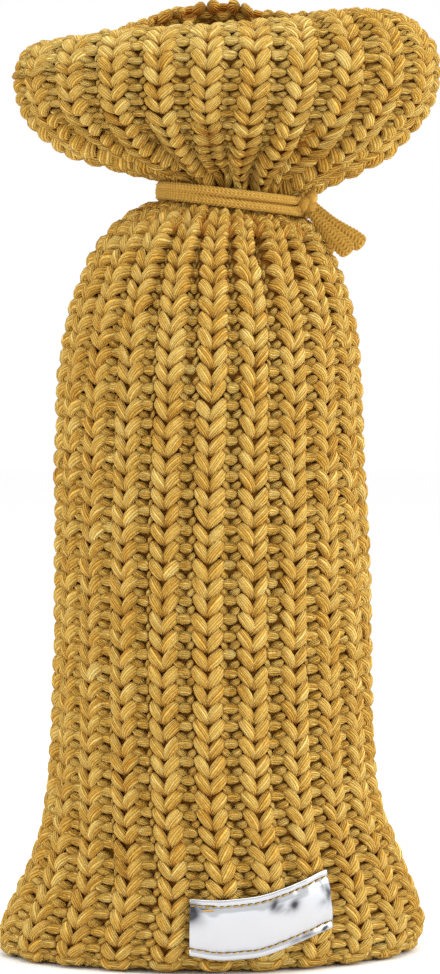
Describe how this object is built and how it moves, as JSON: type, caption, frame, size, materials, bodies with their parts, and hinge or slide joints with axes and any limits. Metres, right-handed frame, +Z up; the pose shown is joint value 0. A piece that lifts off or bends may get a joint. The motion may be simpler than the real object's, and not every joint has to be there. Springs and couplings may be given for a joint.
{
  "type": "knitted hot water bottle cover",
  "caption": "Chunky rib-knitted cover for a round hot water bottle, standing full, tied at the neck with a thin cord, with a flared ruffle top and a plain silver strip.",
  "frame": {"origin": "middle of the whole object's box, on the surface that it stands on", "axes": "+Z up along the tube, -Y the front with the silver strip, +X to the viewer's right"},
  "size_m": [0.1415, 0.1022, 0.3066],
  "materials": {
    "yarn": "matte chunky cotton yarn, mustard ochre, fine plied strands with a little fuzz",
    "cord": "matte braided cotton cord in the yarn's colour",
    "silver": "smooth metallised silver film on a soft backing, mirror-like with soft creases"
  },
  "bodies": {
    "root": {"knit_cover": "yarn", "tie_cord": "cord", "label_strip": "silver"}
  },
  "joints": []
}
